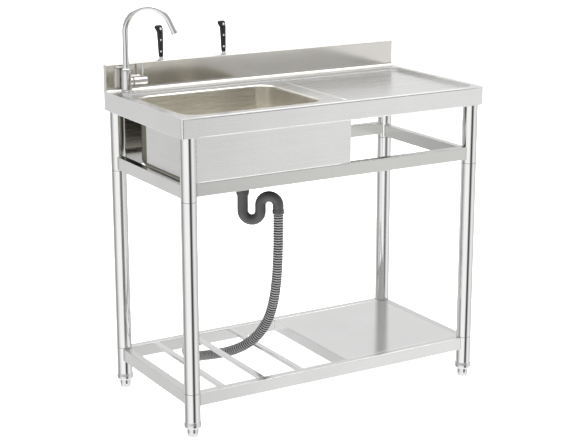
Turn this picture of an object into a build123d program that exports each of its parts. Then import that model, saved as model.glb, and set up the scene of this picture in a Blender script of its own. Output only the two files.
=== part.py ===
"""Free-standing stainless steel sink with one bowl, a drainboard, a mixer tap and a waste trap.

Millimetres, +Z up.  The origin is on the floor, under the middle of the worktop; the front
of the sink faces -Y and the bowl is on the -X side.
"""
import math
import os

from build123d import *

# ---------------------------------------------------------------- driving dimensions
LENGTH = 1000.0            # worktop, along X
DEPTH = 500.0              # worktop, along Y
HEIGHT = 910.0             # top of the worktop rim above the floor
SPLASH_HEIGHT = 78.0       # backsplash above the rim
SPLASH_THICKNESS = 18.0    # folded backsplash, front face to back face
APRON = 55.0               # folded edge of the worktop
SHEET = 1.2                # gauge of all folded sheet

RIM = 20.0                 # raised rim at the left, right and front
LEDGE = 60.0               # raised ledge at the back, with the tap on it
RECESS = 7.0               # deck below the rim
RECESS_CORNER = 30.0       # corner radius of the recess, seen from above
DRAINBOARD_DROP = 2.5      # drainboard below the deck
DRAINBOARD_START = 52.0    # x of the drainboard's left edge

BOWL_X, BOWL_Y = -229.5, -14.0
BOWL_LENGTH, BOWL_WIDTH = 435.0, 328.0
BOWL_DEPTH = 200.0
BOWL_CORNER = 48.0
DRAIN_X, DRAIN_Y = -192.0, -20.0

LEG_RADIUS = 22.5
LEG_WALL = 1.2
LEG_X, LEG_Y = 471.0, 225.0
LEG_TOP = 890.0
STUD_X, STUD_FRONT_Y, STUD_BACK_Y = 478.0, -234.0, 213.5     # studs under the rim and the ledge
MID_JOINT = 678.0          # joint between the upper and lower leg tubes
LOW_JOINT = 129.0          # joint between the lower leg tube and its stub
STUB_BOTTOM = 46.0

RAIL_WIDTH, RAIL_HEIGHT = 25.0, 38.0
FRONT_STRETCHER_Z = 690.0  # underside of the front and back stretchers
SIDE_STRETCHER_Z = 682.0   # underside of the side stretchers
SHELF_Z = 89.0             # underside of the shelf rails
SLAT_WIDTH, SLAT_HEIGHT = 18.0, 10.0
SLAT_X = (-369.0, -240.0, -110.0)
PLATE_LEFT = 48.0

TAP_X, TAP_Y = -447.0, 207.0
TAP_BASE, TAP_SHANK = 16.8, 13.5      # radii of the tap's foot and of its threaded shank
SPOUT_RADIUS = 8.5
SPOUT_BEND = 66.0
SPOUT_SPRING = 1086.0      # height where the spout starts to bend
SPOUT_TURN = -27.0         # degrees from +X, as the spout stands
SPOUT_ARC = 156.0          # degrees of bend
SPOUT_TIP = 30.0           # straight end of the spout
VALVE_Z = 939.0
CARTRIDGE = 8.0            # radius of the valve's bore
LEVER_X = 53.0             # lever pin, from the tap's axis

TRAP_RADIUS = 16.0
TRAP_PITCH = 52.6          # between neighbouring legs of the trap
TRAP_TURN = -40.0          # degrees from +X, plane of the trap
TRAP_LOW, TRAP_HIGH = 571.0, 590.0     # centres of the U bend and of the arch
TRAP_OUTLET_Z = 574.0
HOSE_RADIUS = 15.5
OUTLET_RADIUS = 17.0       # threaded outlet of the strainer cup
NUT_RADIUS = 18.8          # nut that holds the trap on the cup

KNIFE_X = (-318.0, -109.0)
KNIFE_Y = 241.0

DECK_Z = HEIGHT - RECESS
SPLASH_Y = DEPTH / 2 - SPLASH_THICKNESS
FOOT_RADIUS = 8.0          # bend at the foot of the backsplash
SPLASH_FOOT_Y = SPLASH_Y - FOOT_RADIUS - 2.0
RAIL_FACE_Y = LEG_Y + RAIL_WIDTH / 2
RAIL_INNER_X = LEG_X - RAIL_WIDTH / 2
RAIL_INNER_Y = LEG_Y - RAIL_WIDTH / 2
CORNERS = {"front_left": (-1, -1), "front_right": (1, -1), "back_left": (-1, 1), "back_right": (1, 1)}

parts = {}


# ---------------------------------------------------------------- small tools
def span_box(x0, x1, y0, y1, z0, z1):
    """A box between two corners."""
    box = Box(x1 - x0, y1 - y0, z1 - z0)
    return Pos((x0 + x1) / 2, (y0 + y1) / 2, (z0 + z1) / 2) * box


def rod(x, y, z0, z1, radius):
    """An upright cylinder."""
    return Pos(x, y, (z0 + z1) / 2) * Cylinder(radius, z1 - z0)


def tube(x, y, z0, z1, radius, wall):
    """An upright tube."""
    return rod(x, y, z0, z1, radius) - rod(x, y, z0, z1, radius - wall)


def pillow(x0, x1, y0, y1, z0, z1, corner):
    """A box with its upright edges rounded."""
    face = Pos((x0 + x1) / 2, (y0 + y1) / 2, z0) * RectangleRounded(x1 - x0, y1 - y0, corner)
    return extrude(face, z1 - z0)


def turned(x, y, outline):
    """A solid of revolution about an upright axis; the outline is (radius, z) pairs."""
    edge = Polyline(*[(r, 0, z) for r, z in outline], close=True)
    return Pos(x, y, 0) * revolve(make_face(edge), Axis.Z)


def hex_prism(x, y, z0, z1, across_flats):
    """An upright hexagonal bar."""
    hexagon = RegularPolygon(across_flats / 2, 6, major_radius=False)
    return extrude(Pos(x, y, z0) * hexagon, z1 - z0)


def all_legs(radius):
    """Four upright cylinders on the leg axes, to cut the ends of rails."""
    return [rod(sx * LEG_X, sy * LEG_Y, 0, HEIGHT, radius) for sx, sy in CORNERS.values()]


def cut(shape, *tools):
    for tool in tools:
        shape = shape - tool
    return shape


# ---------------------------------------------------------------- worktop
def deck_block(inset):
    """The worktop's outer form, or the space inside it when inset by the gauge."""
    half_l, half_d = LENGTH / 2 - inset, DEPTH / 2 - inset
    block = pillow(-half_l, half_l, -half_d, half_d, HEIGHT - APRON - inset, HEIGHT - inset, 6 - inset)
    low = pillow(-LENGTH / 2 + RIM - inset, LENGTH / 2 - RIM + inset, -DEPTH / 2 + RIM - inset,
                 DEPTH / 2 - LEDGE + inset, DECK_Z - inset, HEIGHT + 1, RECESS_CORNER + inset)
    board = pillow(DRAINBOARD_START - inset, LENGTH / 2 - RIM + inset, -DEPTH / 2 + RIM - inset,
                   DEPTH / 2 - LEDGE + inset, DECK_Z - DRAINBOARD_DROP - inset, HEIGHT + 1, RECESS_CORNER + inset)
    return block - low - board


def worktop():
    top = deck_block(0) - deck_block(SHEET)
    hem_in = 12.0
    hem = pillow(-LENGTH / 2 + SHEET, LENGTH / 2 - SHEET, -DEPTH / 2 + SHEET, DEPTH / 2 - SHEET,
                 HEIGHT - APRON, HEIGHT - APRON + SHEET, 4.8)
    hem -= span_box(-LENGTH / 2 + hem_in, LENGTH / 2 - hem_in, -DEPTH / 2 + hem_in, DEPTH / 2,
                    0, HEIGHT)
    top += hem
    back_cut = span_box(-LENGTH / 2, LENGTH / 2, SPLASH_FOOT_Y, DEPTH / 2, HEIGHT - SHEET, HEIGHT)
    back_skin = span_box(-LENGTH / 2 + SHEET, LENGTH / 2 - SHEET, SPLASH_FOOT_Y, DEPTH / 2, 0, HEIGHT)
    square = span_box(-LENGTH / 2, LENGTH / 2, DEPTH / 2 - 8, DEPTH / 2, HEIGHT - APRON, HEIGHT - SHEET)
    corners = square - span_box(-LENGTH / 2 + SHEET, LENGTH / 2 - SHEET, 0, DEPTH / 2, 0, HEIGHT)
    bowl_hole = bowl_outline(BOWL_FLANGE, DECK_Z - 20, HEIGHT)
    tap_hole = rod(TAP_X, TAP_Y, HEIGHT - 20, HEIGHT + 1, TAP_SHANK + 0.3)
    legs = [rod(sx * LEG_X, sy * LEG_Y, 0, LEG_TOP, LEG_RADIUS) for sx, sy in CORNERS.values()]
    top = cut(top, back_cut, back_skin, bowl_hole)
    top = cut(top + corners, tap_hole, *legs)
    return Compound([top & field for field in worktop_fields()])


def worktop_fields():
    """Boxes that divide the worktop into its four folded edges and its flat middle."""
    x, y0, y1 = LENGTH / 2 - RIM - RECESS_CORNER, -DEPTH / 2 + RIM, DEPTH / 2 - LEDGE
    z0, z1 = HEIGHT - APRON - 1, HEIGHT + 1
    return [span_box(-LENGTH, -x, -DEPTH, DEPTH, z0, z1), span_box(x, LENGTH, -DEPTH, DEPTH, z0, z1),
            span_box(-x, x, -DEPTH, y0, z0, z1), span_box(-x, x, y1, DEPTH, z0, z1),
            span_box(-x, x, y0, y1, z0, z1)]


# ---------------------------------------------------------------- bowl
BOWL_FLANGE = 18.0         # flat flange around the bowl, welded flush into the deck
BOWL_LIP = 8.0             # bend from the flange into the wall
BOWL_FOOT = 26.0           # bend from the wall into the floor


def bowl_outline(grow, z0, z1):
    half_l, half_w = BOWL_LENGTH / 2 + grow, BOWL_WIDTH / 2 + grow
    return pillow(BOWL_X - half_l, BOWL_X + half_l, BOWL_Y - half_w, BOWL_Y + half_w, z0, z1,
                  BOWL_CORNER + grow)


def bowl():
    floor, lip_z = DECK_Z - BOWL_DEPTH, DECK_Z - BOWL_LIP
    ring = bowl_outline(BOWL_FLANGE, DECK_Z - SHEET, DECK_Z) + bowl_outline(BOWL_LIP, lip_z, DECK_Z)
    ring -= bowl_outline(0, lip_z, DECK_Z)
    mouth = ring.faces().sort_by(Axis.Z)[-1].inner_wires()[0].edges()
    ring = fillet(mouth, BOWL_LIP - SHEET - 0.5)
    outside = bowl_outline(SHEET, floor - SHEET, lip_z)
    outside = fillet(outside.faces().sort_by(Axis.Z)[0].edges(), BOWL_FOOT + SHEET)
    inside = bowl_outline(0, floor, lip_z)
    inside = fillet(inside.faces().sort_by(Axis.Z)[0].edges(), BOWL_FOOT)
    pad = turned(DRAIN_X, DRAIN_Y,
                 [(0, floor - 3 - SHEET), (55.5, floor - 3 - SHEET), (60, floor), (0, floor)])
    seat = turned(DRAIN_X, DRAIN_Y, [(0, floor - 3), (54.5, floor - 3), (58, floor + 1), (0, floor + 1)])
    drain = rod(DRAIN_X, DRAIN_Y, floor - 20, floor + 20, DRAIN_HOLE)
    return ring + (cut(outside - inside + pad, seat, drain))


# ---------------------------------------------------------------- backsplash
def splash_profile(inset):
    """Side view (y, z) of the folded backsplash, inset from its outer skin."""
    front, back, top = SPLASH_Y + inset, DEPTH / 2 - inset, HEIGHT + SPLASH_HEIGHT - inset
    bend = 3.0 - inset
    foot = FOOT_RADIUS + inset
    base = HEIGHT - inset
    with BuildSketch(Plane.YZ) as side:
        with BuildLine():
            a = Line((SPLASH_FOOT_Y, base), (front - foot, base))
            b = RadiusArc(a @ 1, (front, base + foot), -foot)
            c = Line(b @ 1, (front, top - bend))
            d = RadiusArc(c @ 1, (front + bend, top), bend)
            e = Line(d @ 1, (back - bend, top))
            f = RadiusArc(e @ 1, (back, top - bend), bend)
            g = Line(f @ 1, (back, HEIGHT - APRON))
            h = Line(g @ 1, (SPLASH_FOOT_Y, HEIGHT - APRON))
            Line(h @ 1, a @ 0)
        make_face()
    return side.sketch


def slot_box(x):
    return span_box(x - 12, x + 12, KNIFE_Y - 2.2, KNIFE_Y + 2.2, HEIGHT + 40, HEIGHT + SPLASH_HEIGHT + 5)


def backsplash():
    half = LENGTH / 2
    outer = extrude(splash_profile(0), half, both=True)
    inner = extrude(splash_profile(SHEET), half, both=True)
    skin = outer - inner
    below = HEIGHT - SHEET
    clear_front = span_box(-half, half, SPLASH_FOOT_Y - 1, DEPTH / 2 - SHEET, HEIGHT - APRON, below)
    ends = [span_box(s * half, s * (half - SHEET), SPLASH_FOOT_Y, DEPTH / 2, HEIGHT - APRON, below)
            if s < 0 else span_box(half - SHEET, half, SPLASH_FOOT_Y, DEPTH / 2, HEIGHT - APRON, below)
            for s in (-1, 1)]
    return cut(skin, clear_front, *ends, *[slot_box(x) for x in KNIFE_X])


def backsplash_end_caps():
    half = LENGTH / 2
    inner = extrude(splash_profile(SHEET), half, both=True)
    band = [span_box(s * half - (SHEET if s > 0 else 0), s * half + (SHEET if s < 0 else 0),
                     SPLASH_FOOT_Y - 1, DEPTH / 2, HEIGHT - SHEET, HEIGHT + SPLASH_HEIGHT) for s in (-1, 1)]
    return Compound([inner & b for b in band])


# ---------------------------------------------------------------- skirt under the apron
def front_skirt():
    """Cover in front of the bowl, standing on the front stretcher."""
    x1, y0 = 40.0, -RAIL_FACE_Y
    z0, z1 = FRONT_STRETCHER_Z + RAIL_HEIGHT, 884.0
    sheet = span_box(-LEG_X, x1, y0, y0 + 1, z0, z1)
    side = span_box(x1 - 1, x1, y0, y0 + 18, z0, z1)
    foot = span_box(-LEG_X, x1, y0, y0 + 16, z0, z0 + 1)
    panel = sheet + side + foot
    panel = fillet(panel.edges().filter_by(Axis.Z).filter_by(
        lambda e: abs(e.center().X - x1) < 0.1 and abs(e.center().Y - y0) < 0.1), 0.9)
    return cut(panel, *all_legs(LEG_RADIUS))


def back_skirt():
    """The same cover behind the bowl, standing on the back stretcher."""
    return mirror(front_skirt(), about=Plane.XZ)


def left_skirt():
    """Cover at the left of the bowl, just inside the left stretcher."""
    x0 = -RAIL_INNER_X + 1.0
    z0 = FRONT_STRETCHER_Z + RAIL_HEIGHT
    sheet = span_box(x0, x0 + 1, -RAIL_FACE_Y + 18, 60, z0, 884)
    back = span_box(x0, x0 + 8, 59, 60, z0, 884)
    return cut(sheet + back, *all_legs(LEG_RADIUS))


def deck_stiffeners():
    """Two folded channels under the drainboard."""
    top = DECK_Z - DRAINBOARD_DROP - SHEET
    bars = []
    for y in (-110.0, 90.0):
        outer = span_box(60, 476, y - 25, y + 25, top - 20, top)
        bars.append(outer - span_box(60, 476, y - 25 + SHEET, y + 25 - SHEET, top - 20, top - SHEET))
    return Compound(bars)


# ---------------------------------------------------------------- legs and stretchers
def leg_socket(sx, sy):
    """Plug in the top of a leg, with the stud that carries the worktop."""
    x, y = sx * LEG_X, sy * LEG_Y
    plug = rod(x, y, LEG_TOP - 40, LEG_TOP, LEG_RADIUS - LEG_WALL)
    cap = rod(x, y, LEG_TOP, LEG_TOP + 3, LEG_RADIUS)
    stud_y = STUD_FRONT_Y if sy < 0 else STUD_BACK_Y
    stud = rod(sx * STUD_X, stud_y, LEG_TOP, HEIGHT - SHEET, 8)
    hollow = rod(x, y, LEG_TOP - 41, LEG_TOP - 4, LEG_RADIUS - 5)
    return cut(plug + cap + stud, hollow)


def stretcher_x(sy, z):
    """Box-section rail along X between two round legs, its ends cut to fit them."""
    rail = span_box(-LEG_X, LEG_X, sy * LEG_Y - RAIL_WIDTH / 2, sy * LEG_Y + RAIL_WIDTH / 2, z, z + RAIL_HEIGHT)
    rail = fillet(rail.edges().filter_by(Axis.X), 2.0)
    core = span_box(-LEG_X, LEG_X, sy * LEG_Y - RAIL_WIDTH / 2 + SHEET, sy * LEG_Y + RAIL_WIDTH / 2 - SHEET,
                    z + SHEET, z + RAIL_HEIGHT - SHEET)
    return cut(rail - core, *all_legs(LEG_RADIUS))


def stretcher_y(sx, z):
    """Box-section rail along Y between two round legs."""
    rail = span_box(sx * LEG_X - RAIL_WIDTH / 2, sx * LEG_X + RAIL_WIDTH / 2, -LEG_Y, LEG_Y, z, z + RAIL_HEIGHT)
    rail = fillet(rail.edges().filter_by(Axis.Y), 2.0)
    core = span_box(sx * LEG_X - RAIL_WIDTH / 2 + SHEET, sx * LEG_X + RAIL_WIDTH / 2 - SHEET, -LEG_Y, LEG_Y,
                    z + SHEET, z + RAIL_HEIGHT - SHEET)
    return cut(rail - core, *all_legs(LEG_RADIUS))


def leg_sleeves():
    """Inner sleeves that join the leg tubes at the two ring joints."""
    sleeves = []
    for sx, sy in CORNERS.values():
        for z in (MID_JOINT, LOW_JOINT):
            sleeves.append(tube(sx * LEG_X, sy * LEG_Y, z - 30, z + 30, LEG_RADIUS - LEG_WALL, 1.5))
    return Compound(sleeves)


def slat(x):
    z1 = SHELF_Z + RAIL_HEIGHT
    bar = span_box(x - SLAT_WIDTH / 2, x + SLAT_WIDTH / 2, -RAIL_INNER_Y, RAIL_INNER_Y, z1 - SLAT_HEIGHT, z1)
    bar = fillet(bar.edges().filter_by(Axis.Y), 1.5)
    core = span_box(x - SLAT_WIDTH / 2 + 1, x + SLAT_WIDTH / 2 - 1, -RAIL_INNER_Y, RAIL_INNER_Y,
                    z1 - SLAT_HEIGHT + 1, z1 - 1)
    return bar - core


def shelf_plate():
    """Folded shelf plate between the rails, with a deep flange on its open left side."""
    z1 = SHELF_Z + RAIL_HEIGHT - 0.5
    x0, x1, y1 = PLATE_LEFT, RAIL_INNER_X, RAIL_INNER_Y
    block = span_box(x0, x1, -y1, y1, z1 - 36, z1)
    block = fillet(block.edges().filter_by(Axis.Y).filter_by(
        lambda e: abs(e.center().X - x0) < 0.1 and abs(e.center().Z - z1) < 0.1), 2.5)
    inner = span_box(x0 + SHEET, x1, -y1, y1, z1 - 37, z1 - SHEET)
    plate = block - inner
    folds = [span_box(x0 + 4, x1, sy * (y1 - SHEET / 2) - SHEET / 2, sy * (y1 - SHEET / 2) + SHEET / 2,
                      z1 - 20, z1 - SHEET) for sy in (-1, 1)]
    folds.append(span_box(x1 - SHEET, x1, -y1, y1, z1 - 20, z1 - SHEET))
    for fold in folds:
        plate += fold
    return cut(plate, *all_legs(LEG_RADIUS))


# ---------------------------------------------------------------- feet

def foot_bushing(x, y):
    """Flanged insert in the bottom of a leg stub, threaded for the foot."""
    base, inner = STUB_BOTTOM - 20, LEG_RADIUS - LEG_WALL
    outline = [(6.2, base), (22, base), (24.4, base + 5), (24.4, base + 11), (LEG_RADIUS, STUB_BOTTOM),
               (inner, STUB_BOTTOM), (inner, STUB_BOTTOM + 22), (6.2, STUB_BOTTOM + 22)]
    return turned(x, y, outline)


def foot(x, y):
    """Bullet foot with a hexagonal waist, on a threaded stem."""
    neck = STUB_BOTTOM - 20.5
    base = turned(x, y, [(0, 0), (12.5, 0), (14.5, 2), (16.2, 12), (16.2, neck), (0, neck)])
    waist = hex_prism(x, y, 8, neck, 28)
    skirt = turned(x, y, [(0, -1), (13.5, -1), (40, 10), (40, neck - 4), (13.9, neck + 3), (0, neck + 3)])
    stem = rod(x, y, neck - 1, STUB_BOTTOM + 40, 6.1)
    return (base + (waist & skirt)) + stem


# ---------------------------------------------------------------- tap
def spout_path():
    """Centre line of the swan neck, from inside the body's socket to its outlet."""
    turn = math.radians(SPOUT_TURN)
    along = Vector(math.cos(turn), math.sin(turn), 0)
    start = Vector(TAP_X, TAP_Y, HEIGHT + 66)
    spring = Vector(TAP_X, TAP_Y, SPOUT_SPRING)
    middle = math.radians(180 - SPOUT_ARC / 2)
    end = math.radians(180 - SPOUT_ARC)
    centre = spring + along * SPOUT_BEND

    def on_arc(angle):
        return centre + along * (SPOUT_BEND * math.cos(angle)) + Vector(0, 0, SPOUT_BEND * math.sin(angle))

    down = along * math.sin(end) + Vector(0, 0, -math.cos(end))
    column = Edge.make_line(start, spring)
    arch = Edge.make_three_point_arc(spring, on_arc(middle), on_arc(end))
    tip = Edge.make_line(on_arc(end), on_arc(end) + down * SPOUT_TIP)
    return Wire([column, arch, tip]), on_arc(end) + down * SPOUT_TIP, down


def spout_tube(radius):
    path, _, _ = spout_path()
    return sweep(Plane(path @ 0, z_dir=path % 0) * Circle(radius), path=path)


def tap_body():
    """Turned body on its base flange, with the side neck for the mixer valve."""
    z = HEIGHT
    outline = [(0, z), (TAP_BASE, z), (TAP_BASE, z + 3), (15.8, z + 5), (15.2, z + 8), (14.5, z + 30),
               (14.0, z + 62), (13.2, z + 66), (10.6, z + 68), (10.6, z + 78), (0, z + 78)]
    body = turned(TAP_X, TAP_Y, outline)
    neck = Pos(TAP_X + 9, TAP_Y, VALVE_Z) * Rot(0, 90, 0) * Cylinder(11.0, 18)
    shank = rod(TAP_X, TAP_Y, z - 16, z, TAP_SHANK)
    bore = rod(TAP_X, TAP_Y, z + 60, z + 80, SPOUT_RADIUS + 0.05)
    water = rod(TAP_X, TAP_Y, z - 47, z + 61, 7)
    cartridge = along_x(TAP_X + 5, TAP_X + 19, TAP_Y, VALVE_Z, CARTRIDGE)
    return cut(body + neck + shank, bore, water, cartridge)


def tap_locknut():
    ring = hex_prism(TAP_X, TAP_Y, HEIGHT - SHEET - 8, HEIGHT - SHEET, 30)
    return ring - rod(TAP_X, TAP_Y, 0, HEIGHT, TAP_SHANK)


def tap_spout():
    return spout_tube(SPOUT_RADIUS) - spout_tube(SPOUT_RADIUS - 1.5)


def tap_aerator():
    _, tip, down = spout_path()
    frame = Plane(tip, z_dir=down)
    sleeve = extrude(frame * Circle(9.6), 9) - extrude(frame * Circle(7), 9)
    plug = extrude(frame.offset(4) * Circle(7), 3)
    return sleeve + plug


def along_x(x0, x1, y, z, radius):
    return Pos((x0 + x1) / 2, y, z) * Rot(0, 90, 0) * Cylinder(radius, x1 - x0)


def turned_x(outline):
    """A solid of revolution about the valve's level axis; the outline is (x from the tap, radius)."""
    edge = Polyline(*[(x, r, 0) for x, r in outline], close=True)
    return Pos(TAP_X, TAP_Y, VALVE_Z) * revolve(make_face(edge), Axis.X)


def tap_mixer_stem():
    """Cartridge stem: turns about the valve's axis and carries the tilting handle."""
    ball = Pos(TAP_X + 19, TAP_Y, VALVE_Z) * Sphere(5.5)
    return turned_x([(7.6, 0), (7.6, CARTRIDGE - 0.07), (18.6, CARTRIDGE - 0.07), (18.6, 0)]) + ball


def tap_handle():
    knob = along_x(TAP_X + 21.5, TAP_X + 64, TAP_Y, VALVE_Z, 11.2)
    knob = chamfer(knob.edges().filter_by(GeomType.CIRCLE), 0.8)
    socket = along_x(TAP_X + 20, TAP_X + 25.5, TAP_Y, VALVE_Z, 6.4)
    pin_hole = rod(TAP_X + LEVER_X, TAP_Y, VALVE_Z + 2, VALVE_Z + 20, 3.0)
    return cut(knob, socket, pin_hole)


def tap_lever_pin():
    x = TAP_X + LEVER_X
    pin = rod(x, TAP_Y, VALVE_Z + 2, VALVE_Z + 12, 3.0) + rod(x, TAP_Y, VALVE_Z + 12, VALVE_Z + 53, 3.4)
    return fillet(pin.edges().group_by(Axis.Z)[-1], 1.5)


# ---------------------------------------------------------------- waste
DRAIN_HOLE = 43.0
CUP_TOP = DECK_Z - BOWL_DEPTH - 3.0
CUP_BOTTOM = 652.0


def drain_cup():
    """Strainer cup with its flange on the bowl and a threaded outlet."""
    bore = OUTLET_RADIUS - 2.8
    outline = [(bore, CUP_BOTTOM - 26), (OUTLET_RADIUS, CUP_BOTTOM - 26), (OUTLET_RADIUS, CUP_BOTTOM),
               (42.5, CUP_BOTTOM + 8), (42.5, CUP_TOP), (54, CUP_TOP + 1.0), (54, CUP_TOP + 2.6),
               (40.5, CUP_TOP + 1.6), (40.5, CUP_BOTTOM + 10), (bore, CUP_BOTTOM + 2.5)]
    cup = turned(DRAIN_X, DRAIN_Y, outline)
    z0, z1 = CUP_BOTTOM + 0.8, CUP_BOTTOM + 3
    spider = [span_box(DRAIN_X - 15, DRAIN_X + 15, DRAIN_Y - 1.2, DRAIN_Y + 1.2, z0, z1),
              span_box(DRAIN_X - 1.2, DRAIN_X + 1.2, DRAIN_Y - 15, DRAIN_Y + 15, z0, z1)]
    return cup + spider[0] + spider[1]


def drain_gasket():
    top = CUP_TOP - SHEET
    return turned(DRAIN_X, DRAIN_Y, [(42.6, top - 3), (52, top - 3), (52, top), (42.6, top)])


def drain_locknut():
    top = CUP_TOP - SHEET - 3
    ring = turned(DRAIN_X, DRAIN_Y, [(42.6, top - 10), (50, top - 10), (53, top - 4), (53, top), (42.6, top)])
    lugs = [Pos(DRAIN_X, DRAIN_Y, top - 5) * Rot(0, 0, a) * Pos(53, 0, 0) * Box(8, 8, 8)
            for a in range(0, 360, 60)]
    for lug in lugs:
        ring += lug - rod(DRAIN_X, DRAIN_Y, 0, HEIGHT, 49)
    return ring


def strainer_basket():
    """Lift-out basket: perforated dish with a knob."""
    z = CUP_TOP - 34.0
    dish = turned(DRAIN_X, DRAIN_Y, [(0, z), (30, z), (38, z + 14), (39.5, z + 36), (41.5, z + 36),
                                     (41.5, z + 37), (38.3, z + 36.4), (37, z + 15), (29.5, z + 1.2), (0, z + 1.2)])
    knob = turned(DRAIN_X, DRAIN_Y, [(0, z + 1), (4, z + 1), (3, z + 20), (8, z + 24), (8, z + 28), (0, z + 28)])
    holes = []
    for ring_radius, count in ((12, 6), (22, 12)):
        for k in range(count):
            angle = 2 * math.pi * k / count
            holes.append(rod(DRAIN_X + ring_radius * math.cos(angle), DRAIN_Y + ring_radius * math.sin(angle),
                             z - 1, z + 2, 2.5))
    return cut(dish + knob, *holes)


def trap_point(pitches, z):
    """A point in the upright plane of the trap, so many pitches from the drain."""
    turn = math.radians(TRAP_TURN)
    reach = TRAP_PITCH * pitches
    return Vector(DRAIN_X + reach * math.cos(turn), DRAIN_Y + reach * math.sin(turn), z)


def trap_inlet_nut():
    z0, z1 = CUP_BOTTOM - 34, CUP_BOTTOM - 4
    nut = turned(DRAIN_X, DRAIN_Y,
                 [(TRAP_RADIUS, z0), (NUT_RADIUS - 1, z0), (NUT_RADIUS, z0 + 3), (NUT_RADIUS, z1),
                  (OUTLET_RADIUS, z1), (OUTLET_RADIUS, z0 + 8), (TRAP_RADIUS, z0 + 8)])
    ribs = [Pos(DRAIN_X, DRAIN_Y, (z0 + z1) / 2 + 3) * Rot(0, 0, a) * Pos(NUT_RADIUS, 0, 0) *
            Box(1.6, 3, z1 - z0 - 8) for a in range(0, 360, 30)]
    for rib in ribs:
        nut += rib
    return nut


def trap_path():
    half = TRAP_PITCH / 2
    runs = [Edge.make_line(trap_point(0, CUP_BOTTOM - 27), trap_point(0, TRAP_LOW)),
            Edge.make_three_point_arc(trap_point(0, TRAP_LOW), trap_point(0.5, TRAP_LOW - half),
                                      trap_point(1, TRAP_LOW)),
            Edge.make_line(trap_point(1, TRAP_LOW), trap_point(1, TRAP_HIGH)),
            Edge.make_three_point_arc(trap_point(1, TRAP_HIGH), trap_point(1.5, TRAP_HIGH + half),
                                      trap_point(2, TRAP_HIGH)),
            Edge.make_line(trap_point(2, TRAP_HIGH), trap_point(2, TRAP_OUTLET_Z))]
    return Wire(runs)


def trap_tube():
    path = trap_path()
    start = Plane(path @ 0, z_dir=path % 0)
    solid = sweep(start * Circle(TRAP_RADIUS), path=path)
    return solid - sweep(start * Circle(TRAP_RADIUS - 2.2), path=path)


def trap_outlet_nut():
    """Collar on the trap's outlet that grips the hose."""
    p = trap_point(2, TRAP_OUTLET_Z)
    return turned(p.X, p.Y, [(HOSE_RADIUS, p.Z - 8), (16.8, p.Z - 8), (17.6, p.Z - 6), (17.6, p.Z + 4),
                             (TRAP_RADIUS, p.Z + 4), (TRAP_RADIUS, p.Z), (HOSE_RADIUS, p.Z)])


# route of the waste hose, from the trap's outlet to the floor behind the sink
HOSE_START = trap_point(2, TRAP_OUTLET_Z)
HOSE_POINTS = [
    (HOSE_START.X, HOSE_START.Y, HOSE_START.Z),
    (HOSE_START.X, HOSE_START.Y, HOSE_START.Z - 74.0),
    (-113.0, -87.0, 426.0),
    (-115.0, -83.0, 362.0),
    (-118.0, -72.5, 298.0),
    (-124.0, -52.0, 237.0),
    (-139.0, -21.0, 181.0),
    (-163.0, 21.0, 138.0),
    (-188.0, 71.5, 107.5),
    (-203.0, 129.0, 84.0),
    (-211.0, 189.0, 62.0),
    (-213.0, 249.5, 40.0),
    (-208.0, 310.0, 22.5),
    (-192.0, 367.0, 17.5),
    (-160.0, 421.0, 17.5),
]


def hose_path():
    points = [Vector(*p) for p in HOSE_POINTS]
    radii = []
    for before, here, after in zip(points, points[1:], points[2:]):
        turn = math.radians((here - before).get_angle(after - here))
        run = min((here - before).length, (after - here).length)
        radii.append(0.45 * run / math.tan(turn / 2))
    print("hose radii", [round(r) for r in radii])
    return FilletPolyline(*points, radius=radii)


def waste_hose():
    path = hose_path()
    hose = sweep(Plane(path @ 0, z_dir=path % 0) * Circle(HOSE_RADIUS), path=path)
    print("hose length", round(path.length, 1), "volume ratio",
          round(hose.volume / (path.length * math.pi * HOSE_RADIUS ** 2), 5))
    return hose


def hose_cuff():
    """Smooth rubber cuff on the hose's end."""
    last, previous = Vector(*HOSE_POINTS[-1]), Vector(*HOSE_POINTS[-2])
    frame = Plane(last, z_dir=last - previous)
    return extrude(frame * Circle(17.0), 40) - extrude(frame.offset(6) * Circle(13.0), 40)


# ---------------------------------------------------------------- knives
def rivet_pins(x):
    top = HEIGHT + SPLASH_HEIGHT
    return [Pos(x - 1, KNIFE_Y, top + z) * Rot(90, 0, 0) * Cylinder(2.4, 15.4) for z in (26, 60, 93)]


def knife_blade(x):
    """Blade and tang in one piece, hanging point down in the slot."""
    top = HEIGHT + SPLASH_HEIGHT
    outline = [(x - 7, top + 98), (x + 5, top + 98), (x + 5, top + 10), (x + 8, top + 8), (x + 8, top - 100),
               (x - 8, top - 40), (x - 10, top + 2), (x - 5, top + 10)]
    face = make_face(Polyline(*[(px, 0, pz) for px, pz in outline], close=True))
    blade = Pos(0, KNIFE_Y, 0) * extrude(face, 1.0, both=True)
    return cut(blade, *rivet_pins(x))


def knife_handle(x):
    """Two scales, one each side of the tang, wider at the butt."""
    top = HEIGHT + SPLASH_HEIGHT
    scales = []
    for side in (-1, 1):
        with BuildSketch(Plane.XZ) as face:
            with BuildLine():
                a = Line((x + 6.5, top + 10), (x + 6.5, top + 96))
                b = RadiusArc(a @ 1, (x + 1.0, top + 102), -6)
                c = Line(b @ 1, (x - 16.0, top + 103.5))
                d = Line(c @ 1, (x - 18.0, top + 97.0))
                e = Line(d @ 1, (x - 10.5, top + 88.0))
                f = Line(e @ 1, (x - 6.5, top + 10))
                Line(f @ 1, a @ 0)
            make_face()
        slab = extrude(face.sketch, 6.5)
        slab = Pos(0, KNIFE_Y + (1.0 + 6.5 if side > 0 else -1.0), 0) * slab
        scales.append(cut(slab, *rivet_pins(x)))
    return Compound(scales)


def knife_rivets(x):
    return Compound(rivet_pins(x))


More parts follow.
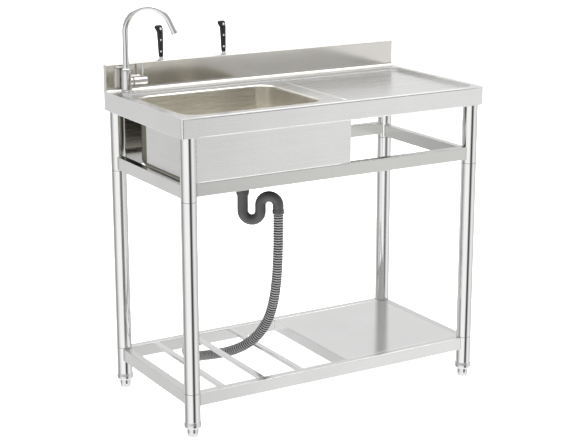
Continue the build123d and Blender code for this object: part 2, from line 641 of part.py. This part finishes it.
# ---------------------------------------------------------------- all nodes
def build():
    parts["worktop"] = worktop()
    parts["bowl"] = bowl()
    parts["backsplash"] = backsplash()
    parts["backsplash_end_caps"] = backsplash_end_caps()
    parts["front_skirt"] = front_skirt()
    parts["back_skirt"] = back_skirt()
    parts["left_skirt"] = left_skirt()
    parts["deck_stiffeners"] = deck_stiffeners()
    parts["leg_sockets"] = Compound([leg_socket(sx, sy) for sx, sy in CORNERS.values()])
    for name, (sx, sy) in CORNERS.items():
        x, y = sx * LEG_X, sy * LEG_Y
        parts["upper_leg_" + name] = tube(x, y, MID_JOINT, LEG_TOP, LEG_RADIUS, LEG_WALL)
        parts["lower_leg_" + name] = tube(x, y, LOW_JOINT, MID_JOINT, LEG_RADIUS, LEG_WALL)
        parts["foot_" + name] = foot(x, y)
    parts["leg_stubs"] = Compound([tube(sx * LEG_X, sy * LEG_Y, STUB_BOTTOM, LOW_JOINT, LEG_RADIUS, LEG_WALL)
                                   for sx, sy in CORNERS.values()])
    parts["leg_sleeves"] = leg_sleeves()
    parts["foot_bushings"] = Compound([foot_bushing(sx * LEG_X, sy * LEG_Y) for sx, sy in CORNERS.values()])
    for side, sign in (("front", -1), ("back", 1)):
        parts["stretcher_" + side] = stretcher_x(sign, FRONT_STRETCHER_Z)
        parts["shelf_rail_" + side] = stretcher_x(sign, SHELF_Z)
    for side, sign in (("left", -1), ("right", 1)):
        parts["stretcher_" + side] = stretcher_y(sign, SIDE_STRETCHER_Z)
        parts["shelf_rail_" + side] = stretcher_y(sign, SHELF_Z)
    for number, x in enumerate(SLAT_X, 1):
        parts["shelf_slat_%d" % number] = slat(x)
    parts["shelf_plate"] = shelf_plate()
    parts["tap_body"] = tap_body()
    parts["tap_locknut"] = tap_locknut()
    parts["tap_spout"] = tap_spout()
    parts["tap_aerator"] = tap_aerator()
    parts["tap_mixer_stem"] = tap_mixer_stem()
    parts["tap_handle"] = tap_handle()
    parts["tap_lever_pin"] = tap_lever_pin()
    parts["drain_cup"] = drain_cup()
    parts["drain_gasket"] = drain_gasket()
    parts["drain_locknut"] = drain_locknut()
    parts["strainer_basket"] = strainer_basket()
    parts["trap_inlet_nut"] = trap_inlet_nut()
    parts["trap_tube"] = trap_tube()
    parts["trap_outlet_nut"] = trap_outlet_nut()
    parts["waste_hose"] = waste_hose()
    parts["hose_cuff"] = hose_cuff()
    for side, x in zip(("left", "right"), KNIFE_X):
        parts["knife_blade_" + side] = knife_blade(x)
        parts["knife_handle_" + side] = knife_handle(x)
        parts["knife_rivets_" + side] = knife_rivets(x)


build()
os.makedirs("parts", exist_ok=True)
for name, shape in parts.items():
    export_step(shape, "parts/%s.step" % name)
print(len(parts), "nodes")
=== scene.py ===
"""Look of the free-standing stainless steel sink: camera, hose, finishes, fine pieces, light."""
import math

import bpy
from mathutils import Matrix, Vector


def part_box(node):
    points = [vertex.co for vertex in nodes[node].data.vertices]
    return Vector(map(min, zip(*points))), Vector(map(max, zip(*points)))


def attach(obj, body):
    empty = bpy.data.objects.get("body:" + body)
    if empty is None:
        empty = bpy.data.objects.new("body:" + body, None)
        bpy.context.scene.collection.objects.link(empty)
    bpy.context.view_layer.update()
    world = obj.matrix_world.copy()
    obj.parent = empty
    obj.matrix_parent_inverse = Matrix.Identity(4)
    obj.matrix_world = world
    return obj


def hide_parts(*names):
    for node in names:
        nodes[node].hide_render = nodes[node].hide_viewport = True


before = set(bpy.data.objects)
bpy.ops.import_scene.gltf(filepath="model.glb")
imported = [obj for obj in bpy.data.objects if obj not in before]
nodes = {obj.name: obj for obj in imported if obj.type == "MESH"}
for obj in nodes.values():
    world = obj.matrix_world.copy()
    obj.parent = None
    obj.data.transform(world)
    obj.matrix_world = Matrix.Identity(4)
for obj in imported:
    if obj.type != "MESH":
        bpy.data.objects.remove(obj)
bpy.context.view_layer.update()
scene = bpy.context.scene
CORNERS = ("front_left", "front_right", "back_left", "back_right")
LEG_X, LEG_Y, LEG_R = 0.471, 0.225, 0.0225


# ---------------------------------------------------------------- camera
def add_camera():
    azimuth, elevation = math.radians(-30.89), math.radians(14.87)
    back = Vector((math.sin(azimuth) * math.cos(elevation), -math.cos(azimuth) * math.cos(elevation),
                   math.sin(elevation)))
    right = Vector((math.cos(azimuth), math.sin(azimuth), 0))
    up = back.cross(right)
    lens = bpy.data.cameras.new("view")
    lens.lens, lens.sensor_width = 92.195, 36.0
    lens.clip_end = 60
    camera = bpy.data.objects.new("view", lens)
    scene.collection.objects.link(camera)
    camera.matrix_world = Matrix.Translation((-2.24697, -3.74638, 1.66985)) @ Matrix(
        (right, up, back)).transposed().to_4x4()
    scene.camera = camera


# ---------------------------------------------------------------- waste hose
HOSE_ROUTE = [
    (-0.11141, -0.08762, 0.574),
    (-0.11141, -0.08762, 0.500),
    (-0.113, -0.087, 0.426),
    (-0.115, -0.083, 0.362),
    (-0.118, -0.0725, 0.298),
    (-0.124, -0.052, 0.237),
    (-0.139, -0.021, 0.181),
    (-0.163, 0.021, 0.138),
    (-0.188, 0.0715, 0.1075),
    (-0.203, 0.129, 0.084),
    (-0.211, 0.189, 0.062),
    (-0.213, 0.2495, 0.040),
    (-0.208, 0.310, 0.0225),
    (-0.192, 0.367, 0.0175),
    (-0.160, 0.421, 0.0175),
]
HOSE_R = 0.0155
HOSE_AROUND = 36             # points around the hose
RIB_PITCH = 0.0077
RIB_DEPTH = 0.0028
PLAIN_END = 0.010            # smooth sleeve at each end
GROOVE_SHADE_SHARE = 0.42          # share of the rib's depth from which a face counts as groove and gets the painted shade


def smooth_line(points):
    """The hose's centre line: a NURBS spline over its route, read back as a mesh."""
    curve = bpy.data.curves.new("hose_line", "CURVE")
    curve.dimensions = "3D"
    curve.resolution_u = 24
    spline = curve.splines.new("NURBS")
    spline.points.add(len(points) - 1)
    for point, co in zip(spline.points, points):
        point.co = (*co, 1)
    spline.order_u = 3
    spline.use_endpoint_u = True
    holder = bpy.data.objects.new("hose_line", curve)
    scene.collection.objects.link(holder)
    bpy.context.view_layer.update()
    mesh = bpy.data.meshes.new_from_object(holder)
    line = [v.co.copy() for v in mesh.vertices]
    bpy.data.objects.remove(holder)
    bpy.data.meshes.remove(mesh)
    return line


def walk(line, step):
    """Points at even steps along a line, with the distance travelled to each."""
    out, travelled, next_at = [(line[0], 0.0)], 0.0, step
    for a, b in zip(line, line[1:]):
        run = (b - a).length
        while run > 0 and travelled + run >= next_at:
            out.append((a.lerp(b, (next_at - travelled) / run), next_at))
            next_at += step
        travelled += run
    return out, travelled


def mesh_object(name, verts, faces, smooth=True):
    mesh = bpy.data.meshes.new(name)
    mesh.from_pydata([tuple(v) for v in verts], [], faces)
    mesh.polygons.foreach_set("use_smooth", [smooth] * len(faces))
    obj = bpy.data.objects.new(name, mesh)
    scene.collection.objects.link(obj)
    return obj


def skinned(name, rings):
    """A closed skin over a row of rings with the same number of points."""
    around = len(rings[0])
    faces = [tuple(reversed(range(around)))]
    for base in range(0, around * (len(rings) - 1), around):
        for j in range(around):
            nxt = (j + 1) % around
            faces.append((base + j, base + nxt, base + around + nxt, base + around + j))
    last = around * (len(rings) - 1)
    faces.append(tuple(range(last, last + around)))
    return mesh_object(name, [v for ring in rings for v in ring], faces)


def rings_along(stations, radius_at, around=HOSE_AROUND):
    """Rings across a line of (point, distance) stations, with a radius for each distance."""
    rings = []
    side = None
    for k, (point, at) in enumerate(stations):
        before, after = stations[max(k - 1, 0)][0], stations[min(k + 1, len(stations) - 1)][0]
        along = (after - before).normalized()
        side = along.orthogonal() if side is None else side - along * side.dot(along)
        side.normalize()
        other = along.cross(side)
        turns = [2 * math.pi * j / around for j in range(around)]
        rings.append([point + (side * math.cos(t) + other * math.sin(t)) * radius_at(at) for t in turns])
    return rings


def rib_depth(at, length):
    """Depth of the hose's grooves: rounded ribs, and a plain sleeve at each end."""
    if at < PLAIN_END or at > length - PLAIN_END:
        return 0.0003
    phase = math.cos(2 * math.pi * at / RIB_PITCH)
    return RIB_DEPTH * (0.5 - 0.5 * phase) ** 1.5


def add_hose():
    line = smooth_line([Vector(p) for p in HOSE_ROUTE])
    stations, length = walk(line, RIB_PITCH / 10)
    rings = rings_along(stations, lambda at: HOSE_R - rib_depth(at, length))
    hose = skinned("corrugated_hose", rings)
    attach(hose, "stand")
    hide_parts("waste_hose")
    hose.data.materials.append(plastic("hose_grey", (0.31, 0.313, 0.315), 0.34, 500, 0.08, 0.08))
    # groove faces get a near-black copy of the hose plastic: painted shade in the grooves
    hose.data.materials.append(plastic("hose_groove_painted_shade", (0.035, 0.036, 0.037), 0.55, 500, 0.08, 0.08))
    for face in hose.data.polygons:
        station = (face.index - 1) // HOSE_AROUND
        if not 0 <= station < len(stations):
            continue
        if rib_depth(stations[station][1], length) > GROOVE_SHADE_SHARE * RIB_DEPTH:
            face.material_index = 1


# ---------------------------------------------------------------- knife handles
# height above the backsplash, left side, right side, half thickness (mm, about the knife's middle)
HANDLE_SECTIONS = [
    (9.0, -6.4, 6.0, 5.0),
    (11.0, -7.2, 6.8, 6.0),
    (30.0, -8.2, 7.2, 6.6),
    (55.0, -9.6, 7.4, 7.1),
    (78.0, -10.8, 7.4, 7.3),
    (86.0, -12.4, 7.4, 7.4),
    (92.5, -18.0, 7.2, 7.2),
    (97.5, -20.0, 6.6, 6.6),
    (101.8, -18.4, 4.6, 5.2),
    (103.9, -14.4, 1.4, 2.8),
]
HANDLE_AROUND = 28           # points around a handle
HANDLE_SQUARENESS = 0.8      # 1 is an ellipse, smaller is boxier
SPLASH_TOP = 0.988
RIVETS = ((26.0, 2.6), (60.0, 2.6), (93.0, 3.6))     # height above the backsplash and radius (mm)
# depth through the handle (mm) and share of the radius there
RIVET_PROFILE = [(-8.2, 0.15), (-8.0, 0.6), (-7.4, 1.0), (-5.0, 1.0), (5.0, 1.0), (7.4, 1.0), (8.0, 0.6),
                 (8.2, 0.15)]
RIVET_AROUND = 20
RIVET_SHIFT = 0.0026         # rivets stand left of the handle's middle


def add_knife_handles():
    """Moulded scales with a hooked butt, round in section and closed over the tang."""
    black = plastic("knife_black", (0.010, 0.010, 0.011), 0.28, 900, 0.12)
    for side in ("left", "right"):
        low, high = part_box("knife_rivets_" + side)
        x, y = (low.x + high.x) / 2 + 0.001, (low.y + high.y) / 2
        rings = []
        for z, x0, x1, thick in HANDLE_SECTIONS:
            ring = []
            for k in range(HANDLE_AROUND):
                turn = 2 * math.pi * k / HANDLE_AROUND
                c, d = math.cos(turn), math.sin(turn)
                c = math.copysign(abs(c) ** HANDLE_SQUARENESS, c)
                d = math.copysign(abs(d) ** HANDLE_SQUARENESS, d)
                ring.append(Vector((x + ((x0 + x1) / 2 + c * (x1 - x0) / 2) / 1000, y + d * thick / 1000,
                                    SPLASH_TOP + z / 1000)))
            rings.append(ring)
        handle = skinned("knife_grip_" + side, rings)
        smooth = handle.modifiers.new("smooth", "SUBSURF")
        smooth.levels = smooth.render_levels = 1
        handle.data.materials.append(black)
        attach(handle, "knife_" + side)
        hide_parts("knife_handle_" + side)
        add_rivets(side, x - RIVET_SHIFT, y)


def add_rivets(side, x, y):
    """Domed rivet heads on both faces of a handle, one mesh with their shanks."""
    verts, faces = [], []
    for height, radius in RIVETS:
        base = len(verts)
        for depth, share in RIVET_PROFILE:
            for k in range(RIVET_AROUND):
                turn = 2 * math.pi * k / RIVET_AROUND
                verts.append((x + radius * share * math.cos(turn) / 1000, y + depth / 1000,
                              SPLASH_TOP + (height + radius * share * math.sin(turn)) / 1000))
        for ring in range(len(RIVET_PROFILE) - 1):
            at = base + ring * RIVET_AROUND
            for k in range(RIVET_AROUND):
                nxt = (k + 1) % RIVET_AROUND
                faces.append((at + k, at + RIVET_AROUND + k, at + RIVET_AROUND + nxt, at + nxt))
        faces.append(tuple(base + k for k in range(RIVET_AROUND)))
        faces.append(tuple(reversed(range(len(verts) - RIVET_AROUND, len(verts)))))
    heads = mesh_object("knife_rivet_heads_" + side, verts, faces)
    heads.data.materials.append(steel("rivet_%s" % side, (0.93, 0.93, 0.93), 0.30, (900, 900, 900)))
    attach(heads, "knife_" + side)
    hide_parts("knife_rivets_" + side)


# ---------------------------------------------------------------- finishes
def shader(name):
    material = bpy.data.materials.new(name)
    material.use_nodes = True
    tree = material.node_tree
    return material, tree, tree.nodes["Principled BSDF"]


def noise(tree, stretch, scale, detail=3.0):
    """Noise in the object's own metres, stretched along some axes."""
    coords = tree.nodes.new("ShaderNodeTexCoord")
    mapping = tree.nodes.new("ShaderNodeMapping")
    mapping.inputs["Scale"].default_value = stretch
    texture = tree.nodes.new("ShaderNodeTexNoise")
    texture.inputs["Scale"].default_value = scale
    texture.inputs["Detail"].default_value = detail
    tree.links.new(coords.outputs["Object"], mapping.inputs["Vector"])
    tree.links.new(mapping.outputs["Vector"], texture.inputs["Vector"])
    return texture.outputs["Fac"]


def spread(tree, value, low, high):
    """A 0 to 1 value mapped onto a range."""
    node = tree.nodes.new("ShaderNodeMapRange")
    node.inputs["From Min"].default_value, node.inputs["From Max"].default_value = 0.25, 0.75
    node.inputs["To Min"].default_value, node.inputs["To Max"].default_value = low, high
    tree.links.new(value, node.inputs["Value"])
    return node.outputs["Result"]


def tinted(tree, value, dark, light):
    ramp = tree.nodes.new("ShaderNodeValToRGB")
    ramp.color_ramp.elements[0].position, ramp.color_ramp.elements[1].position = 0.3, 0.7
    ramp.color_ramp.elements[0].color = (*dark, 1)
    ramp.color_ramp.elements[1].color = (*light, 1)
    tree.links.new(value, ramp.inputs["Fac"])
    return ramp.outputs["Color"]


def bumped(tree, bsdf, height, strength, distance, bend=0.0):
    """Fine relief, over edges rounded off by a bend radius as folded sheet has."""
    bump = tree.nodes.new("ShaderNodeBump")
    if bend:
        bevel = tree.nodes.new("ShaderNodeBevel")
        bevel.inputs["Radius"].default_value = bend
        tree.links.new(bevel.outputs["Normal"], bump.inputs["Normal"])
    bump.inputs["Strength"].default_value = strength
    bump.inputs["Distance"].default_value = distance
    tree.links.new(height, bump.inputs["Height"])
    tree.links.new(bump.outputs["Normal"], bsdf.inputs["Normal"])


def steel(name, colour, rough, grain=(4, 900, 900), vary=0.02, bump=0.02, bend=0.0):
    """Sheet or tube steel with a fine grain along one axis and slight colour drift."""
    material, tree, bsdf = shader(name)
    bsdf.inputs["Metallic"].default_value = 1.0
    fine = noise(tree, grain, 1.0, 2.0)
    drift = noise(tree, (1, 1, 1), 7.0, 2.0)
    dark = [c * (1 - vary) for c in colour]
    light = [min(1, c * (1 + vary)) for c in colour]
    tree.links.new(tinted(tree, drift, dark, light), bsdf.inputs["Base Color"])
    tree.links.new(spread(tree, fine, rough * 0.85, rough * 1.15), bsdf.inputs["Roughness"])
    bumped(tree, bsdf, fine, bump, 0.0002, bend)
    return material


def plastic(name, colour, rough, grain_scale, bump, vary=0.15):
    material, tree, bsdf = shader(name)
    grain = noise(tree, (1, 1, 1), grain_scale, 4.0)
    drift = noise(tree, (1, 1, 1), 25.0, 3.0)
    dark = [c * (1 - vary) for c in colour]
    light = [c * (1 + vary) for c in colour]
    tree.links.new(tinted(tree, drift, dark, light), bsdf.inputs["Base Color"])
    tree.links.new(spread(tree, grain, rough * 0.85, rough * 1.15), bsdf.inputs["Roughness"])
    bumped(tree, bsdf, grain, bump, 0.0003)
    return material


def paint(material, *names):
    for name in names:
        obj = nodes.get(name) or bpy.data.objects[name]
        obj.data.materials.clear()
        obj.data.materials.append(material)


def set_finishes():
    along_x, along_y, along_z = (4, 900, 900), (900, 4, 900), (900, 900, 4)
    fold = 0.0022
    sheet = steel("sheet_steel", (0.82, 0.817, 0.81), 0.27, along_x, bump=0.005, bend=fold)
    # backsplash: a darker, browner copy of the sheet steel as painted reflection
    splash = steel("splash_steel_painted_reflection", (0.70, 0.68, 0.645), 0.15, along_x, bump=0.008, bend=fold)
    left = steel("skirt_steel", (0.80, 0.797, 0.79), 0.30, along_y, bump=0.005, bend=fold)
    bowl = steel("bowl_steel", (0.84, 0.82, 0.765), 0.27, along_x, vary=0.08, bump=0.01)
    # painted shade: a dark brown copy of the steel for the bowl's outside, standing for the shadow under the
    # worktop
    bowl_painted_shade = steel("bowl_outside_painted_shade", (0.20, 0.185, 0.14), 0.35, along_x)
    tube = steel("leg_tube", (0.80, 0.80, 0.79), 0.10, along_z, 0.015, 0.01)
    rail_x = steel("rail_front", (0.79, 0.79, 0.78), 0.20, along_x, bend=fold)
    rail_y = steel("rail_side", (0.74, 0.74, 0.73), 0.20, along_y, bend=fold)
    upper_x = steel("stretcher_steel", (0.62, 0.617, 0.60), 0.18, along_x, bend=fold)
    plate = steel("shelf_steel", (0.83, 0.83, 0.825), 0.14, along_y, bend=fold)
    hidden = steel("inner_steel", (0.55, 0.55, 0.54), 0.35, along_x)
    foot = steel("foot_steel", (0.74, 0.74, 0.735), 0.14, along_z, bend=0.001)
    chrome = steel("tap_chrome", (0.70, 0.70, 0.705), 0.10, along_z, 0.01, 0.005)
    blade = steel("blade_steel", (0.80, 0.80, 0.81), 0.22, along_z)
    brass = steel("brass", (0.62, 0.47, 0.22), 0.30, along_z)
    drain = steel("drain_steel", (0.66, 0.65, 0.62), 0.22, along_x)
    paint(sheet, "worktop", "front_skirt", "back_skirt")
    paint(left, "left_skirt")
    paint(splash, "backsplash", "backsplash_end_caps")
    paint(bowl, "bowl")
    paint(hidden, "deck_stiffeners", "leg_sockets", "leg_sleeves")
    for corner in CORNERS:
        paint(tube, "upper_leg_" + corner, "lower_leg_" + corner)
        paint(foot, "foot_" + corner)
    paint(tube, "leg_stubs")
    paint(foot, "foot_bushings")
    paint(upper_x, "stretcher_front", "stretcher_back")
    paint(rail_y, "stretcher_left", "stretcher_right", "shelf_rail_left", "shelf_rail_right")
    paint(rail_x, "shelf_rail_front", "shelf_rail_back")
    paint(plate, "shelf_plate", "shelf_slat_1", "shelf_slat_2", "shelf_slat_3")
    paint(chrome, "tap_body", "tap_spout", "tap_aerator", "tap_handle", "tap_lever_pin")
    paint(brass, "tap_locknut", "tap_mixer_stem")
    paint(drain, "drain_cup", "strainer_basket")
    paint(blade, "knife_blade_left", "knife_blade_right")
    pipe = plastic("pipe_grey", (0.062, 0.063, 0.065), 0.34, 700, 0.10, 0.08)
    paint(pipe, "trap_tube", "trap_inlet_nut", "trap_outlet_nut", "drain_locknut")
    paint(plastic("rubber", (0.03, 0.03, 0.03), 0.7, 900, 0.3), "hose_cuff", "drain_gasket")
    bowl_object = nodes["bowl"]
    # faces on the bowl's outer walls and underside take the painted shade material
    bowl_object.data.materials.append(bowl_painted_shade)
    low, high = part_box("bowl")
    centre = (low + high) / 2
    for face in bowl_object.data.polygons:
        outward = (face.center - centre)
        outward.z = 0
        if face.normal.dot(outward) > 0.02 and face.center.z < high.z - 0.004 or (
                face.normal.z < -0.5):
            face.material_index = 1


# ---------------------------------------------------------------- seams in the legs
SEAM_HEIGHTS = (("upper", 0.678), ("lower", 0.129))
SEAM_HALF = 0.0008           # half the height of a seam
SEAM_PROUD = 0.0001
CHAMFER = 0.0003


def band(name, x, y, z0, z1, radius, around=48):
    """An open ring around a leg, with its edges turned in."""
    verts, faces = [], []
    turned_in = radius - CHAMFER
    for z, r in ((z0, turned_in), (z0 + CHAMFER, radius), (z1 - CHAMFER, radius), (z1, turned_in)):
        for k in range(around):
            turn = 2 * math.pi * k / around
            verts.append((x + r * math.cos(turn), y + r * math.sin(turn), z))
    for ring in range(3):
        for k in range(around):
            nxt = (k + 1) % around
            low, high = ring * around, (ring + 1) * around
            faces.append((low + k, low + nxt, high + nxt, high + k))
    return mesh_object(name, verts, faces)


def add_seams():
    dark = steel("seam_shadow", (0.16, 0.16, 0.155), 0.45)
    for corner in CORNERS:
        x = -LEG_X if "left" in corner else LEG_X
        y = -LEG_Y if "front" in corner else LEG_Y
        for label, z in SEAM_HEIGHTS:
            name = "seam_%s_%s" % (label, corner)
            seam = band(name, x, y, z - SEAM_HALF, z + SEAM_HALF, LEG_R + SEAM_PROUD)
            seam.data.materials.append(dark)
            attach(seam, "stand")


# ---------------------------------------------------------------- rolled edges with painted highlights, and painted shade lines
EDGE_STEPS = 12              # lengths that each run is divided into
EDGE_AROUND = 12


def add_edging():
    """Rolled edges of the folded sheet in a lighter steel as painted highlight lines, and dark ribbons
    beside two of them as painted shade lines.
    """
    # the beads are real rolled edges; their steel is lighter than the sheet's as painted highlight
    highlight_steel = steel("rolled_edge_highlight", (0.95, 0.95, 0.945), 0.32, (900, 900, 900))
    # dark ribbons below the front top edge and beside the drainboard step: painted shade lines
    painted_shade = steel("painted_shade_line", (0.16, 0.158, 0.15), 0.40, (900, 900, 900))
    front, left, skirt, end = -0.2492, -0.4992, -0.2377, 0.4955
    top, hem, foot = 0.9091, 0.8557, 0.7295
    runs = {
        "front_top": ((-end, front, top), (end, front, top), 0.0013, highlight_steel),
        "front_top_shade_line": ((-end, -0.2496, top - 0.0030), (end, -0.2496, top - 0.0030), 0.0008, painted_shade),
        "front_hem": ((-end, front, hem), (end, front, hem), 0.0013, highlight_steel),
        "left_hem": ((left, -0.2455, hem), (left, 0.2455, hem), 0.0012, highlight_steel),
        "left_top": ((left, -0.2455, top), (left, 0.2190, top), 0.0009, highlight_steel),
        "skirt_foot": ((-0.4480, skirt, foot), (0.0390, skirt, foot), 0.0012, highlight_steel),
        "skirt_end": ((0.0392, skirt, foot), (0.0392, skirt, 0.8545), 0.0012, highlight_steel),
        "drainboard": ((0.0506, -0.1990, 0.9029), (0.0506, 0.1590, 0.9029), 0.0013, highlight_steel),
        "drainboard_shade_line": ((0.0540, -0.1990, 0.9008), (0.0540, 0.1590, 0.9008), 0.0013, painted_shade),
    }
    for name, (start, stop, radius, material) in runs.items():
        a, b = Vector(start), Vector(stop)
        stations = [(a.lerp(b, k / EDGE_STEPS), k) for k in range(EDGE_STEPS + 1)]
        rings = rings_along(stations, lambda at: radius * (0.5 if at in (0, EDGE_STEPS) else 1), EDGE_AROUND)
        run = skinned("edging_" + name, rings)
        run.data.materials.append(material)
        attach(run, "stand")


# ---------------------------------------------------------------- floor and light
def add_floor():
    size = 14.0
    floor = mesh_object("floor", [(-size, -size, 0), (size, -size, 0), (size, size, 0), (-size, size, 0)],
                        [(0, 1, 2, 3)], False)
    floor.location.z = -0.0005
    material, tree, bsdf = shader("floor_white")
    bsdf.inputs["Base Color"].default_value = (0.93, 0.93, 0.93, 1)
    bsdf.inputs["Roughness"].default_value = 0.9
    bsdf.inputs["Specular IOR Level"].default_value = 0.0
    bsdf.inputs["Emission Color"].default_value = (1, 1, 1, 1)
    bsdf.inputs["Emission Strength"].default_value = 0.62
    floor.data.materials.append(material)
    floor.visible_glossy = False


def mapped(tree, value, start, end):
    """0 before start, 1 after end, and even in between."""
    node = tree.nodes.new("ShaderNodeMapRange")
    node.inputs["From Min"].default_value, node.inputs["From Max"].default_value = start, end
    tree.links.new(value, node.inputs["Value"])
    return node.outputs["Result"]


def mixed(tree, factor, first, second):
    """Blend of two greys, each a number or a colour output."""
    node = tree.nodes.new("ShaderNodeMix")
    node.data_type = "RGBA"
    tree.links.new(factor, node.inputs[0])
    for socket, source in ((node.inputs[6], first), (node.inputs[7], second)):
        if isinstance(source, (int, float)):
            socket.default_value = (source, source, source, 1)
        else:
            tree.links.new(source, socket)
    return node.outputs[2]


def around_ramp(tree, turn, stops):
    """Greys by direction: 0 degrees is the viewer's side, positive is to the viewer's right."""
    ramp = tree.nodes.new("ShaderNodeValToRGB")
    elements = ramp.color_ramp.elements
    elements[0].position, elements[1].position = 0.0, 1.0
    elements[0].color, elements[1].color = (stops[0][1],) * 3 + (1,), (stops[-1][1],) * 3 + (1,)
    for degrees, value in stops[1:-1]:
        elements.new(0.5 + degrees / 360).color = (value, value, value, 1)
    tree.links.new(turn, ramp.inputs["Fac"])
    return ramp.outputs["Color"]


def add_world():
    """A white studio: soft box overhead, white floor, and grey flags beside and behind the object."""
    world = bpy.data.worlds.new("studio")
    world.use_nodes = True
    tree = world.node_tree
    coords = tree.nodes.new("ShaderNodeTexCoord")
    split = tree.nodes.new("ShaderNodeSeparateXYZ")
    tree.links.new(coords.outputs["Generated"], split.inputs["Vector"])
    angle = tree.nodes.new("ShaderNodeMath")
    angle.operation = "ARCTAN2"
    tree.links.new(split.outputs["Y"], angle.inputs[0])
    tree.links.new(split.outputs["X"], angle.inputs[1])
    turn = tree.nodes.new("ShaderNodeMath")
    turn.operation = "MULTIPLY_ADD"
    turn.inputs[1].default_value = 1 / (2 * math.pi)
    turn.inputs[2].default_value = 0.5 + 120.9 / 360
    tree.links.new(angle.outputs["Value"], turn.inputs[0])
    wrap = tree.nodes.new("ShaderNodeMath")
    wrap.operation = "FRACT"
    tree.links.new(turn.outputs["Value"], wrap.inputs[0])
    low = around_ramp(tree, wrap.outputs["Value"],
                      [(-180, 0.42), (-148, 0.55), (-132, 0.82), (-120, 0.82), (-108, 0.34), (-90, 0.38),
                       (-76, 0.66), (-60, 0.92), (-45, 1.10), (6, 1.12), (17, 0.40), (24, 0.07), (40, 0.08),
                       (50, 0.50), (62, 0.98), (88, 0.98), (108, 0.76), (138, 0.72), (160, 0.42),
                       (180, 0.42)])
    high = around_ramp(tree, wrap.outputs["Value"],
                       [(-180, 0.80), (-110, 0.80), (-70, 0.50), (70, 0.50), (110, 0.80), (180, 0.80)])
    height = split.outputs["Z"]
    below = mixed(tree, mapped(tree, height, -0.45, -0.62), low, 1.15)
    above = mixed(tree, mapped(tree, height, 0.62, 0.80), high, 2.6)
    both = mixed(tree, mapped(tree, height, -0.02, 0.06), below, above)
    path = tree.nodes.new("ShaderNodeLightPath")
    seen = mixed(tree, path.outputs["Is Camera Ray"], both, 1.0)
    tree.links.new(seen, tree.nodes["Background"].inputs["Color"])
    scene.world = world


def add_lights():
    lamp = bpy.data.lights.new("overhead", "AREA")
    lamp.shape, lamp.size, lamp.size_y = "RECTANGLE", 5.0, 4.0
    lamp.energy = 90
    top = bpy.data.objects.new("overhead", lamp)
    top.location = (-0.4, -0.6, 4.2)
    top.visible_glossy = False
    scene.collection.objects.link(top)


add_camera()
add_hose()
add_knife_handles()
set_finishes()
add_seams()
add_edging()
add_floor()
add_world()
add_lights()
scene.view_settings.view_transform = "Standard"
